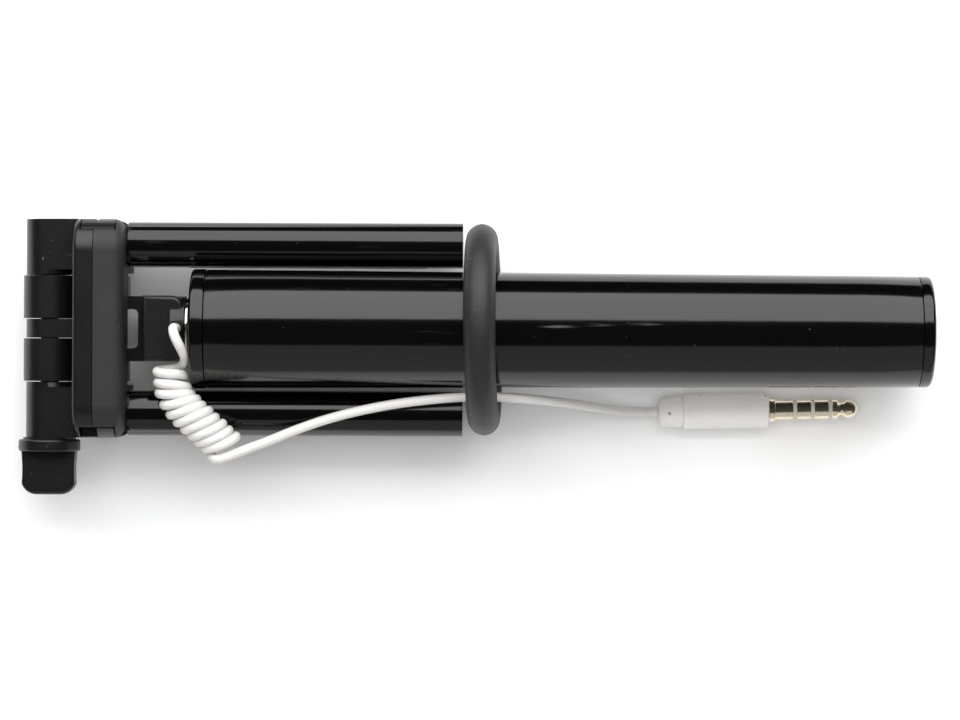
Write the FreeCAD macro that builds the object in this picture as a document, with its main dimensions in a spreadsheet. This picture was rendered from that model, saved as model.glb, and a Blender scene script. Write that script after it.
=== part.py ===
import FreeCAD, Part
import math
import os
import re

# Telescopic selfie stick, folded, lying on a surface at z = -15.
# Frame: X along the handle, the origin at the centre of the end cap's outer face and the pole
# head towards -X; Y across, through both jaws; Z up. Millimetres.

V = FreeCAD.Vector
doc = FreeCAD.newDocument("selfie_stick")
sheet = doc.addObject("Spreadsheet::Sheet", "Sizes")
sheet_rows = []
places = doc.addObject("App::VarSet", "Places")
place_names = []
nodes = []


def size(alias, value, meaning):
    """One driving dimension: a plain number in a cell of its own."""
    row = len(sheet_rows) + 1
    sheet.set("A%d" % row, meaning)
    sheet.set("B%d" % row, str(value))
    sheet.setAlias("B%d" % row, alias)
    sheet_rows.append(alias)


# Handle
size("handle_len", 123.0, "front of the collar to the end cap's face")
size("handle_front_r", 9.85, "handle radius at the collar")
size("handle_rear_r", 9.25, "handle radius at the end cap")
size("bore_fit", 0.05, "handle bore over the fixed section")
size("collar_len", 2.4, "front collar")
size("collar_r", 9.95, "front collar radius")
size("cap_len", 2.0, "end cap outside the shell")
size("cap_spigot", 7.0, "end cap inside the shell")
size("edge_round", 0.5, "small rounding of moulded edges")
size("joint_gap", 0.1, "groove between glued mouldings")
# Telescopic pole
size("pole_r", 7.5, "radius of the fixed section")
size("pole_step", 0.8, "radius lost from one section to the next")
size("pole_wall", 0.35, "wall of every section")
size("pole_fit", 0.05, "running clearance between sections")
size("collar_seat", 1.5, "front of the fixed section behind the collar's front")
size("pole_rear", 31.0, "rear of the fixed section from the cap's face")
size("front_stagger", 0.3, "each mouth ahead of the last")
size("rear_stagger", 2.0, "each rear end ahead of the last")
size("mouth_len", 1.6, "rolled mouth")
size("bush_len", 6.0, "rear bush")
# Shutter button and its switch
size("button_x", 20.0, "button centre from the cap's face")
size("button_r", 3.2, "button")
size("button_gap", 0.15, "button to handle hole")
size("button_face", 8.95, "button face below the axis")
size("flange_r", 3.9, "button flange")
size("flange_inset", 1.35, "underside of the flange inside the handle's bore")
size("flange_t", 0.5, "flange thickness")
size("board_len", 18.0, "switch board length")
size("board_w", 10.0, "switch board width")
size("board_t", 0.8, "switch board thickness")
size("board_top", 2.2, "upper face of the board below the axis")
size("carrier_t", 1.5, "tongue of the end cap that carries the board")
size("switch_w", 4.5, "tact switch width")
size("press_room", 0.5, "flange to the tact switch")
size("stem_proud", 0.6, "switch stem below its can")
size("board_screw_r", 0.7, "board screw")
size("board_screw_len", 2.2, "board screw length above the board's underside")
size("screw_head_t", 0.6, "board screw head")
size("board_screw_pitch", 14.0, "between the two board screws")
# Head: fork bracket, ferrule, grommet
size("head_reach", 24.0, "hinge axis ahead of the collar's front")
size("barrel_drop", 2.6, "hinge axis below the handle axis")
size("fork_ring_r", 4.35, "fork ring radius")
size("fork_in", 1.7, "inner face of a fork ring from the middle")
size("fork_out", 8.8, "outer face of a fork ring from the middle")
size("tongue_w", 10.9, "tongue width")
size("tongue_t", 4.0, "tongue thickness")
size("head_block", 16.0, "rear of the bracket's socket block from the hinge axis")
size("head_top", 4.3, "top of the socket block above the handle axis")
size("block_edge", 0.7, "rounded top edges of the socket block")
size("ferrule_edge", 0.3, "rounded edges of the ferrule")
size("head_corner", 2.2, "rounded front corners of the socket block")
size("window_past", 1.7, "window past the cover's front face")
size("window_w", 6.6, "window width")
size("window_corner", 0.9, "rounded corners of the window")
size("cover_pinch", 0.6, "skin left between the seam and a slider")
size("boss_r", 5.4, "socket boss")
size("boss_len", 2.3, "socket boss length")
size("ferrule_r", 5.15, "ferrule")
size("ferrule_len", 0.8, "ferrule length")
size("socket_depth", 14.0, "spigot of the bracket inside the thinnest section")
size("grommet_r", 1.1, "cord grommet radius")
size("grommet_h", 6.4, "top of the grommet above the handle axis")
# Hinge and holder
size("bolt_r", 1.5, "hinge bolt")
size("bolt_fit", 0.1, "bolt in its holes")
size("hinge_gap", 0.15, "side gap between knuckles")
size("knuckle_r", 3.9, "holder knuckle")
size("plate_half_w", 18.2, "half the plate's width along Y")
size("plate_low", 15.0, "lower edge of the plate below the axis")
size("plate_top", 6.4, "upper edge of the plate above the axis")
size("plate_corner", 5.5, "corner radius of the plate")
size("plate_edge", 1.0, "rounding of the back shell's outline")
size("cover_edge", 2.0, "rounding of the cover's outline")
size("plate_set", 4.6, "hinge axis to the plate's back face")
size("shell_depth", 3.4, "back shell along X")
size("cover_depth", 5.0, "front cover along X")
size("seam_gap", 0.1, "seam between the two mouldings")
size("notch_half_w", 9.5, "half the notch over the fork")
size("notch_gap", 0.4, "notch above the tongue")
size("nut_w", 5.0, "trapped nut across flats")
size("nut_t", 2.4, "trapped nut")
size("washer_r", 4.4, "washer under the knob")
size("washer_t", 0.3, "washer thickness")
size("knob_r", 5.15, "knob collar")
size("knob_collar", 2.0, "knob collar length")
size("paddle_len", 7.2, "wing of the knob")
size("paddle_w", 9.2, "wing width")
size("paddle_t", 4.0, "wing thickness")
size("knob_edge", 0.4, "rounded rim of the knob collar")
size("paddle_edge", 0.7, "rounded faces of the wing")
size("paddle_corner", 2.6, "rounded corners of the wing")
size("paddle_waist", 0.3, "depth of the wing's concave sides")
# Jaws
size("arm_w", 7.5, "arm width along Y")
size("arm_h", 12.0, "arm height along Z")
size("arm_inner", 10.35, "inner face of an arm from the middle")
size("arm_top", 0.5, "top of an arm above the handle axis")
size("arm_len", 56.1, "arm length from the cover's front face")
size("arm_gap", 0.15, "arm root to cover")
size("block_inset", 0.7, "slider block behind the arm's inner face")
size("pad_t", 0.8, "rubber pad thickness")
size("pad_h", 4.4, "rubber pad height")
size("pad_len", 40.0, "rubber pad length")
size("slide_gap", 0.2, "jaw slider in the plate")
size("block_w", 6.0, "neck between arm and slider along Y")
size("block_t", 2.8, "slider block along X")
size("block_low", 9.0, "slider block below the handle axis")
size("block_top", 4.8, "slider block above the handle axis")
size("bar_h", 2.2, "slider bar height")
size("bar_t", 2.4, "slider bar thickness")
size("bar_reach", 14.5, "slider bar past the middle of the plate")
size("bar_split", 0.4, "height between the two bars")
size("spring_r", 1.2, "return spring")
size("spring_wire", 0.3, "return spring wire")
size("screw_r", 1.0, "plate screw")
size("screw_z", 12.2, "plate screws below the handle axis")
size("screw_y", 13.8, "plate screws from the middle")
# Rubber ring
size("ring_mid_r", 14.95, "ring radius to the middle of its section")
size("ring_section", 5.3, "ring section diameter")
size("ring_past", 3.4, "middle of the ring past the arm tips")
size("ring_lean", 2.4, "ring leans towards the head, degrees")
size("ring_turn", 0.8, "ring turned about Z, degrees")
# Cord and plug
size("cord_r", 0.8, "cord radius")
size("coil_r", 3.3, "outside radius of the wound turns")
size("plug_start_x", -44.7, "plug collar's rear end")
size("plug_start_y", -13.7, "plug axis at its rear end")
size("plug_yaw", 1.3, "plug axis turned about Z, degrees")
size("plug_body_r", 3.05, "plug body")
size("plug_edge", 0.6, "rounded ends of the plug body")
size("plug_body_len", 14.6, "plug body length")
size("plug_collar_r", 2.65, "plug strain relief")
size("plug_collar_len", 4.1, "plug strain relief length")
size("plug_flange_r", 2.1, "metal shoulder radius")
size("plug_flange_len", 1.1, "metal shoulder length")
size("jack_r", 1.75, "jack radius")
size("jack_len", 14.0, "jack length from shoulder to tip")
doc.recompute()


def val(alias):
    return float(getattr(places, alias) if alias in place_names else sheet.get(alias))


def cells(formula):
    """Every word with an underscore in a formula is a size or a worked-out place."""
    def owner(word):
        return ("Places." if word.group() in place_names else "Sizes.") + word.group()
    return re.sub(r"[a-z]+(_[a-z0-9]+)+", owner, formula)


def place(alias, formula, meaning):
    """A length that follows from the sizes."""
    places.addProperty("App::PropertyFloat", alias, "Places", meaning)
    places.setExpression(alias, cells(formula))
    place_names.append(alias)


# The handle's bore takes the fixed section, and the button and its switch fit inside it. The
# rest are distances from the cap's face, worked forward along the stick.
place("handle_bore_r", "pole_r + bore_fit", "bore of the handle shell")
place("flange_low", "handle_bore_r - flange_inset", "underside of the button's flange")
place("switch_h_low", "flange_low - flange_t - press_room", "underside of the tact switch")
place("pole_front", "handle_len - collar_seat", "front of the fixed section")
place("barrel_x", "handle_len + head_reach", "hinge axis")
place("plate_back", "barrel_x - plate_set", "back face of the plate")
place("plate_seam", "plate_back - shell_depth", "seam between back shell and front cover")
place("plate_front", "plate_seam - cover_depth", "front face of the cover")
place("window_end", "plate_front - window_past", "inner end of the window between the prongs")
place("arm_tip", "plate_front - arm_len", "arm tips")
place("ring_x", "arm_tip - ring_past", "middle of the rubber ring")
doc.recompute()


def at(item, x="0", y="0", z="0"):
    item.setExpression("Placement.Base.x", cells(x))
    item.setExpression("Placement.Base.y", cells(y))
    item.setExpression("Placement.Base.z", cells(z))
    return item


TURN = {
    "x": FreeCAD.Rotation(V(0, 1, 0), 90),
    "y": FreeCAD.Rotation(V(1, 0, 0), -90),
    "z": FreeCAD.Rotation(),
}


def rod(name, axis, radius, length, x="0", y="0", z="0"):
    """Cylinder that starts at x, y, z and runs along an axis."""
    item = doc.addObject("Part::Cylinder", name)
    item.Placement = FreeCAD.Placement(V(), TURN[axis])
    item.setExpression("Radius", cells(radius))
    item.setExpression("Height", cells(length))
    return at(item, x, y, z)


def taper(name, radius_start, radius_end, length, x):
    """Cone frustum along X."""
    item = doc.addObject("Part::Cone", name)
    item.Placement = FreeCAD.Placement(V(), TURN["x"])
    item.setExpression("Radius1", cells(radius_start))
    item.setExpression("Radius2", cells(radius_end))
    item.setExpression("Height", cells(length))
    return at(item, x)


def block(name, x, y, z):
    """Box between pairs of formulas."""
    item = doc.addObject("Part::Box", name)
    item.setExpression("Length", cells("(%s) - (%s)" % (x[1], x[0])))
    item.setExpression("Width", cells("(%s) - (%s)" % (y[1], y[0])))
    item.setExpression("Height", cells("(%s) - (%s)" % (z[1], z[0])))
    return at(item, x[0], y[0], z[0])


def fuse(name, *items):
    item = doc.addObject("Part::MultiFuse", name)
    item.Shapes = list(items)
    item.Refine = True
    return item


def cut(name, base, *tools):
    item = doc.addObject("Part::Cut", name)
    item.Base = base
    item.Tool = tools[0] if len(tools) == 1 else fuse(name + "_tools", *tools)
    item.Refine = True
    return item


def common(name, first, second):
    item = doc.addObject("Part::MultiCommon", name)
    item.Shapes = [first, second]
    item.Refine = True
    return item


def rounded(name, base, radius, wanted):
    """Fillet the edges for which wanted(edge) holds."""
    doc.recompute()
    edges = []
    for number, edge in enumerate(base.Shape.Edges, 1):
        if wanted(edge):
            edges.append((number, radius, radius))
    item = doc.addObject("Part::Fillet", name)
    item.Base = base
    item.Edges = edges
    return item


def sub_part(label, item):
    item.Label = label
    nodes.append(item)
    return item


def edge_box(edge):
    box = edge.BoundBox
    return box.XLength, box.YLength, box.ZLength


def along_x(edge):
    """Straight edge along X."""
    across = edge_box(edge)
    return across[0] > 0.5 and across[1] < 1e-4 and across[2] < 1e-4


def in_plane_x(place, edges_over=0.5):
    """Picker of edges that lie in the plane x = place."""
    def wanted(edge):
        box = edge.BoundBox
        flat = abs(box.XMin - place) < 1e-3 and abs(box.XMax - place) < 1e-3
        return flat and edge.Length > edges_over
    return wanted


# ---- Handle: shell, collar, end cap, fixed steel section, switch ----

shell_cone = taper("shell_cone", "handle_front_r", "handle_rear_r",
                   "handle_len - collar_len - cap_len - 2*joint_gap",
                   "-(handle_len - collar_len - joint_gap)")
shell_bore = rod("shell_bore", "x", "handle_bore_r", "handle_len + 2", "-(handle_len + 1)")
button_hole = rod("button_hole", "z", "button_r + button_gap", "handle_front_r",
                  "-button_x", "0", "-handle_front_r - 1")
handle_shell = sub_part("handle_shell", cut("handle_shell", shell_cone, shell_bore, button_hole))

collar_ring = rod("collar_ring", "x", "collar_r", "collar_len", "-handle_len")
collar_eye = rod("collar_eye", "x", "pole_r + pole_fit", "collar_len", "-(handle_len - 0.8)")
collar_mouth = rod("collar_mouth", "x", "pole_r - pole_wall", "handle_len", "-(handle_len + 1)")
doc.recompute()
collar_round = rounded("collar_round", collar_ring, val("edge_round"),
                       in_plane_x(-val("handle_len")))
front_collar = sub_part("front_collar",
                        cut("front_collar", collar_round, collar_eye, collar_mouth))

cap_disc = rod("cap_disc", "x", "handle_rear_r", "cap_len", "-cap_len")
cap_round = rounded("cap_round", cap_disc, 2 * val("edge_round"), in_plane_x(0.0))
cap_plug = rod("cap_plug", "x", "handle_bore_r - pole_fit", "cap_spigot + 0.5",
               "-(cap_len + cap_spigot)")
carrier = block("carrier", ("-(button_x + 8)", "-cap_len - 1"),
                ("-board_w/2", "board_w/2"), ("-board_top", "-board_top + carrier_t"))
carrier_pilots = []
for sign, side in (("-", "front"), ("+", "rear")):
    carrier_pilots.append(rod("pilot_" + side, "z", "board_screw_r", "4",
                              "-(button_x - 1) %s board_screw_pitch/2" % sign, "0",
                              "-board_top - 1"))
cap_whole = fuse("cap_whole", cap_round, cap_plug, carrier)
end_cap = sub_part("end_cap", cut("end_cap", cap_whole, *carrier_pilots))

board_slab = block("board_slab", ("-(button_x - 1) - board_len/2", "-(button_x - 1) + board_len/2"),
                   ("-board_w/2", "board_w/2"), ("-board_top - board_t", "-board_top"))
board_holes = []
for sign, side in (("-", "front"), ("+", "rear")):
    board_holes.append(rod("board_hole_" + side, "z", "board_screw_r + pole_fit", "4",
                           "-(button_x - 1) %s board_screw_pitch/2" % sign, "0",
                           "-board_top - 3"))
switch_board = sub_part("switch_board", cut("switch_board", board_slab, *board_holes))

switch_can = block("switch_can", ("-button_x - switch_w/2", "-button_x + switch_w/2"),
                   ("-switch_w/2", "switch_w/2"), ("-switch_h_low + stem_proud", "-board_top - board_t"))
switch_stem = rod("switch_stem", "z", "switch_w/4", "switch_h_low - board_top - board_t", "-button_x", "0",
                  "-switch_h_low")
tact_switch = sub_part("tact_switch", fuse("tact_switch", switch_can, switch_stem))

screw_parts = []
for sign, side in (("-", "front"), ("+", "rear")):
    screw_x = "-(button_x - 1) %s board_screw_pitch/2" % sign
    screw_parts.append(rod("screw_shank_" + side, "z", "board_screw_r", "board_screw_len", screw_x, "0",
                           "-board_top - board_t"))
    screw_parts.append(rod("screw_head_" + side, "z", "2*board_screw_r", "screw_head_t", screw_x, "0",
                           "-board_top - board_t - screw_head_t"))
board_screws = sub_part("board_screws", fuse("board_screws", *screw_parts))

button_stem = rod("button_stem", "z", "button_r", "button_face - flange_low",
                  "-button_x", "0", "-button_face")
button_round = rounded("button_round", button_stem, val("edge_round"),
                       lambda edge: edge.BoundBox.ZMax < -val("button_face") + 0.01)
button_flange = rod("button_flange", "z", "flange_r", "flange_t", "-button_x", "0", "-flange_low")
shutter_button = sub_part("shutter_button", fuse("shutter_button", button_round, button_flange))


# ---- Telescopic pole: a fixed section and five that slide, each with a rear bush ----

def section_radius(number):
    return "(pole_r - %d*pole_step)" % (number - 1)


def section_front(number):
    return "-(pole_front + %d*front_stagger)" % (number - 1)


def section_rear(number):
    return "-(pole_rear + %d*rear_stagger)" % (number - 1)


SECTIONS = 6
for number in range(1, SECTIONS + 1):
    name = "section_%d" % number
    outside = section_radius(number)
    start = section_front(number)
    tube = rod(name + "_tube", "x", outside, "(%s) - (%s)" % (section_rear(number), start), start)
    bore = rod(name + "_bore", "x", outside + " - pole_wall", "pole_front", start + " + mouth_len")
    cuts = [bore]
    if number < SECTIONS:
        mouth = section_radius(number + 1) + " + pole_fit"
    else:
        mouth = outside + " - pole_wall"
    cuts.append(rod(name + "_mouth", "x", mouth, "mouth_len + 2", start + " - 1"))
    sub_part(name, cut(name, tube, *cuts))
    if number == 1:
        continue
    outer_bore = section_radius(number - 1) + " - pole_wall - pole_fit"
    ring = rod(name + "_bush_ring", "x", outer_bore, "bush_len", section_rear(number) + " - bush_len + 1")
    seat = rod(name + "_bush_seat", "x", outside, "bush_len", section_rear(number) + " - bush_len")
    eye = rod(name + "_bush_eye", "x", outside + " - 2*pole_wall", "2*bush_len",
              section_rear(number) + " - bush_len - 1")
    sub_part(name + "_bush", cut(name + "_bush", ring, seat, eye))


# ---- Head: fork bracket on the thinnest section, with ferrule and cord grommet ----

boss_front = "-(pole_front + %d*front_stagger) - ferrule_len - 0.2" % (SECTIONS - 1)
boss = rod("boss", "x", "boss_r", "boss_len", boss_front + " - boss_len")
spigot = rod("spigot", "x", section_radius(SECTIONS) + " - pole_wall", "socket_depth + boss_len",
             boss_front + " - 0.5")
tongue = block("tongue", ("-plate_front - 0.01", boss_front + " - boss_len/2"),
               ("-tongue_w/2", "tongue_w/2"),
               ("-barrel_drop - fork_ring_r", "-barrel_drop - fork_ring_r + tongue_t"))
socket_box = block("socket_box", ("-barrel_x + head_block", boss_front),
                   ("-tongue_w/2", "tongue_w/2"), ("-barrel_drop - fork_ring_r", "head_top"))
block_rear = val("head_block") - val("barrel_x")
socket_corners = rounded("socket_corners", socket_box, val("head_corner"),
                         lambda edge: edge.BoundBox.ZLength > 5 and edge.BoundBox.XMin > block_rear + 1)
socket_block = rounded("socket_block", socket_corners, val("block_edge"),
                       lambda edge: edge.BoundBox.ZMin > val("head_top") - 0.01)
prongs = []
for sign, side in (("", "upper"), ("-", "lower")):
    span = ("fork_in", "fork_out") if sign == "" else ("-fork_out", "-fork_in")
    prongs.append(block("prong_" + side, ("-barrel_x", "-plate_front"), span,
                        ("-barrel_drop - fork_ring_r", "-barrel_drop - fork_ring_r + tongue_t")))
    prongs.append(rod("fork_ring_" + side, "y", "fork_ring_r", "fork_out - fork_in",
                      "-barrel_x", span[0], "-barrel_drop"))
# The prongs are wider than the tongue, so a tapered pair of shoulders joins them.
shoulders = block("shoulders", ("-plate_front - 2.6", "-plate_front"), ("-fork_out", "fork_out"),
                  ("-barrel_drop - fork_ring_r", "-barrel_drop - fork_ring_r + tongue_t"))
window_slab = block("window_slab", ("-plate_seam", "-window_end"), ("-window_w/2", "window_w/2"),
                    ("-plate_low", "0"))
window = rounded("window", window_slab, val("window_corner"),
                 lambda edge: edge.BoundBox.ZLength > 5 and edge.BoundBox.XMin > -val("window_end") - 0.1)
bolt_way = rod("bolt_way", "y", "bolt_r + bolt_fit", "2*plate_half_w", "-barrel_x",
               "-plate_half_w", "-barrel_drop")
grommet_hole = rod("grommet_hole", "z", "grommet_r", "2*boss_r",
                   boss_front + " - boss_len/2", "0", "boss_r - 1.4")
bracket_solid = fuse("bracket_solid", boss, spigot, tongue, socket_block, shoulders, *prongs)
fork_bracket = sub_part("fork_bracket",
                        cut("fork_bracket", bracket_solid, window, bolt_way, grommet_hole))

ferrule_rod = rod("ferrule_rod", "x", "ferrule_r", "ferrule_len", boss_front)
ferrule_round = rounded("ferrule_round", ferrule_rod, val("ferrule_edge"), lambda edge: edge.Length > 20)
ferrule_eye = rod("ferrule_eye", "x", section_radius(SECTIONS) + " - pole_wall + 0.01",
                  "2", boss_front + " - 0.5")
ferrule = sub_part("ferrule", cut("ferrule", ferrule_round, ferrule_eye))

grommet_stem = rod("grommet_stem", "z", "grommet_r", "grommet_h - boss_r + 1.4",
                   boss_front + " - boss_len/2", "0", "boss_r - 1.4")
cord_grommet = sub_part("cord_grommet",
                        rounded("cord_grommet", grommet_stem, 0.25,
                                lambda edge: edge.BoundBox.ZMin > val("grommet_h") - 0.01))


# ---- Phone holder: back shell with hinge knuckles, cover, screws, nut, washer ----

def plate_slab(name, back, front, rounded_face, ease):
    """Rounded rectangle across X, with the outline of one face eased."""
    slab = block(name + "_slab", (back, front), ("-plate_half_w", "plate_half_w"),
                 ("-plate_low", "plate_top"))
    corners = rounded(name + "_corners", slab, val("plate_corner"), along_x)
    return rounded(name + "_eased", corners, val(ease), in_plane_x(rounded_face))


back_slab = plate_slab("back", "-plate_back", "-plate_seam - seam_gap/2", -val("plate_back"), "plate_edge")
cover_slab = plate_slab("cover", "-plate_seam + seam_gap/2", "-plate_front", -val("plate_front"),
                        "cover_edge")


def notch(name):
    return block(name, ("-plate_back - 1", "-plate_front + 1"), ("-notch_half_w", "notch_half_w"),
                 ("-plate_low - 1", "-barrel_drop - fork_ring_r + tongue_t + notch_gap"))


# Two cavities run right through along Y: bars slide in the back one, blocks in the front one.
bar_back = "-plate_back + 1.3"
bar_front = bar_back + " + bar_t"
block_back = "-plate_seam + seam_gap/2 + cover_pinch"
block_front = block_back + " + block_t"
bar_upper_z = ("block_top - bar_h", "block_top")
bar_lower_z = ("block_top - 2*bar_h - bar_split", "block_top - bar_h - bar_split")


def bar_track(name):
    return block(name, (bar_back + " - slide_gap", "-plate_seam + 1"),
                 ("-plate_half_w - 1", "plate_half_w + 1"),
                 (bar_lower_z[0] + " - slide_gap", "block_top + slide_gap"))


def block_track(name, half):
    """Cavity for one jaw's block; it is open at the plate's end."""
    if half == "upper":
        span = ("arm_inner - slide_gap", "plate_half_w + 1")
    elif half == "lower":
        span = ("-plate_half_w - 1", "-arm_inner + slide_gap")
    else:
        span = ("-arm_inner", "arm_inner")
    low = bar_lower_z[0] + " - slide_gap" if half == "middle" else "-block_low - slide_gap"
    return block(name + "_" + half, ("-plate_seam - 1", block_front + " + slide_gap"), span,
                 (low, "block_top + slide_gap"))


def neck_slot(name, half):
    if half == "upper":
        span = ("arm_inner + 0.4", "plate_half_w + 1")
    else:
        span = ("-plate_half_w - 1", "-arm_inner - 0.4")
    return block(name + "_" + half, ("-plate_seam + 1", "-plate_front + 1"), span,
                 ("-block_low - slide_gap", "slide_gap"))


knuckle_parts = []
knuckle_spans = (
    ("upper", "fork_out + hinge_gap", "plate_half_w"),
    ("middle", "-fork_in + hinge_gap", "fork_in - hinge_gap"),
    ("lower", "-plate_half_w", "-fork_out - hinge_gap"),
)
for side, low, high in knuckle_spans:
    knuckle_parts.append(rod("knuckle_" + side, "y", "knuckle_r", "(%s) - (%s)" % (high, low),
                             "-barrel_x", low, "-barrel_drop"))
    leaf_low = "notch_half_w + 0.3" if side == "upper" else low
    leaf_high = "-notch_half_w - 0.3" if side == "lower" else high
    knuckle_parts.append(block("leaf_" + side, ("-barrel_x", "-plate_back + 0.5"),
                               (leaf_low, leaf_high),
                               ("-barrel_drop", "-barrel_drop + knuckle_r")))
holder_bolt_way = rod("holder_bolt_way", "y", "bolt_r + bolt_fit", "2*plate_half_w + 2",
                      "-barrel_x", "-plate_half_w - 1", "-barrel_drop")
nut_pocket = block("nut_pocket", ("-barrel_x - nut_w/2 - pole_fit", "-barrel_x + nut_w/2 + pole_fit"),
                   ("plate_half_w - nut_t - 0.6", "plate_half_w + 1"),
                   ("-barrel_drop - nut_w/2 - pole_fit", "-barrel_drop + nut_w/2 + pole_fit"))
screw_ways = []
for sign, side in (("", "upper"), ("-", "lower")):
    screw_ways.append(rod("screw_way_" + side, "x", "screw_r + 0.02", "plate_back - plate_front - 1.2",
                          "-plate_back - 0.2", "%sscrew_y" % sign, "-screw_z"))
    screw_ways.append(rod("screw_well_" + side, "x", "1.9*screw_r", "1.2",
                          "-plate_back - 0.2", "%sscrew_y" % sign, "-screw_z"))
back_whole = fuse("back_whole", back_slab, *knuckle_parts)
plate_back = sub_part("plate_back", cut("plate_back", back_whole, notch("back_notch"),
                                        bar_track("back_track"), holder_bolt_way, nut_pocket,
                                        *screw_ways))

spring_z = {"upper": "block_top - bar_h/2", "lower": "block_top - bar_h*1.5 - bar_split"}
posts = []
for sign, side in (("-", "upper"), ("", "lower")):
    posts.append(rod("spring_post_" + side, "x", "spring_r/2", "block_t + 0.5", block_back,
                     "%s(notch_half_w - 0.5)" % sign, spring_z[side]))
cover_screw_ways = []
for sign, side in (("", "upper"), ("-", "lower")):
    cover_screw_ways.append(rod("cover_screw_way_" + side, "x", "screw_r + 0.02",
                                "plate_back - plate_front - 1.2", "-plate_back - 0.2",
                                "%sscrew_y" % sign, "-screw_z"))
cover_shell = cut("cover_shell", cover_slab, notch("cover_notch"),
                  block_track("track", "upper"), block_track("track", "lower"),
                  block_track("track", "middle"),
                  neck_slot("slot", "upper"), neck_slot("slot", "lower"), *cover_screw_ways)
plate_cover = sub_part("plate_cover", fuse("plate_cover", cover_shell, *posts))

plate_screw_parts = []
for sign, side in (("", "upper"), ("-", "lower")):
    plate_screw_parts.append(rod("plate_shank_" + side, "x", "screw_r",
                                 "plate_back - plate_front - 2.2", "-plate_back + 0.5",
                                 "%sscrew_y" % sign, "-screw_z"))
    plate_screw_parts.append(rod("plate_head_" + side, "x", "1.8*screw_r", "0.8",
                                 "-plate_back + 0.1", "%sscrew_y" % sign, "-screw_z"))
plate_screws = sub_part("plate_screws", fuse("plate_screws", *plate_screw_parts))

nut_body = block("nut_body", ("-barrel_x - nut_w/2", "-barrel_x + nut_w/2"),
                 ("plate_half_w - nut_t - 0.5", "plate_half_w - 0.5"),
                 ("-barrel_drop - nut_w/2", "-barrel_drop + nut_w/2"))
nut_eye = rod("nut_eye", "y", "bolt_r + 0.02", "2*nut_t", "-barrel_x",
              "plate_half_w - 2*nut_t + 0.5", "-barrel_drop")
trapped_nut = sub_part("trapped_nut", cut("trapped_nut", nut_body, nut_eye))

washer_disc = rod("washer_disc", "y", "washer_r", "washer_t", "-barrel_x",
                  "-plate_half_w - washer_t - 0.02", "-barrel_drop")
washer_eye = rod("washer_eye", "y", "bolt_r + bolt_fit", "3", "-barrel_x",
                 "-plate_half_w - 2", "-barrel_drop")
hinge_washer = sub_part("hinge_washer", cut("hinge_washer", washer_disc, washer_eye))


# ---- Knob: collar with a concave wing, moulded on the head of the hinge bolt ----

knob_face = "-plate_half_w - washer_t - 0.06"
knob_disc = rod("knob_disc", "y", "knob_r", "knob_collar", "-barrel_x",
                knob_face + " - knob_collar", "-barrel_drop")
knob_disc_round = rounded("knob_disc_round", knob_disc, val("knob_edge"), lambda edge: edge.Length > 20)
paddle_slab = block("paddle_slab", ("-barrel_x - paddle_w/2", "-barrel_x + paddle_w/2"),
                    (knob_face + " - knob_collar - paddle_len", knob_face + " - knob_collar + 0.3"),
                    ("-barrel_drop - paddle_t/2", "-barrel_drop + paddle_t/2"))
paddle_end = -val("plate_half_w") - val("washer_t") - 0.06 - val("knob_collar") - val("paddle_len")
paddle_round = rounded("paddle_round", paddle_slab, val("paddle_corner"),
                       lambda edge: edge.BoundBox.YMax < paddle_end + 0.01
                       and edge.BoundBox.ZLength > 1)
paddle_soft = rounded("paddle_soft", paddle_round, val("paddle_edge"),
                      lambda edge: edge.BoundBox.ZLength < 0.01 and edge.BoundBox.YMax
                      < paddle_end + val("paddle_len"))
waist_r = "((paddle_len/2)*(paddle_len/2)/(2*paddle_waist) + paddle_waist/2)"
waists = []
for sign, side in (("-", "rear"), ("+", "front")):
    waists.append(rod("waist_" + side, "z", waist_r, "2*paddle_t",
                      "-barrel_x %s (paddle_w/2 - paddle_waist + %s)" % (sign, waist_r),
                      knob_face + " - knob_collar - paddle_len*0.42",
                      "-barrel_drop - paddle_t"))
paddle = cut("paddle", paddle_soft, *waists)
knob_solid = fuse("knob_solid", knob_disc_round, paddle)
knob_bore = rod("knob_bore", "y", "bolt_r", "knob_collar + 4", "-barrel_x",
                knob_face + " - knob_collar - 3", "-barrel_drop")
knob = sub_part("knob", cut("knob", knob_solid, knob_bore))
hinge_bolt = sub_part("hinge_bolt", rod("hinge_bolt", "y", "bolt_r",
                                        "2*plate_half_w + washer_t + knob_collar + 2.4",
                                        "-barrel_x", knob_face + " - knob_collar - 2.8",
                                        "-barrel_drop"))


# ---- Jaws: an arm with a rubber pad, and a slider block and bar inside the plate ----

def mirrored(span, half):
    """Turn a span of the upper jaw into the lower jaw's."""
    if half == "upper":
        return span
    return ("-(%s)" % span[1], "-(%s)" % span[0])


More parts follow.
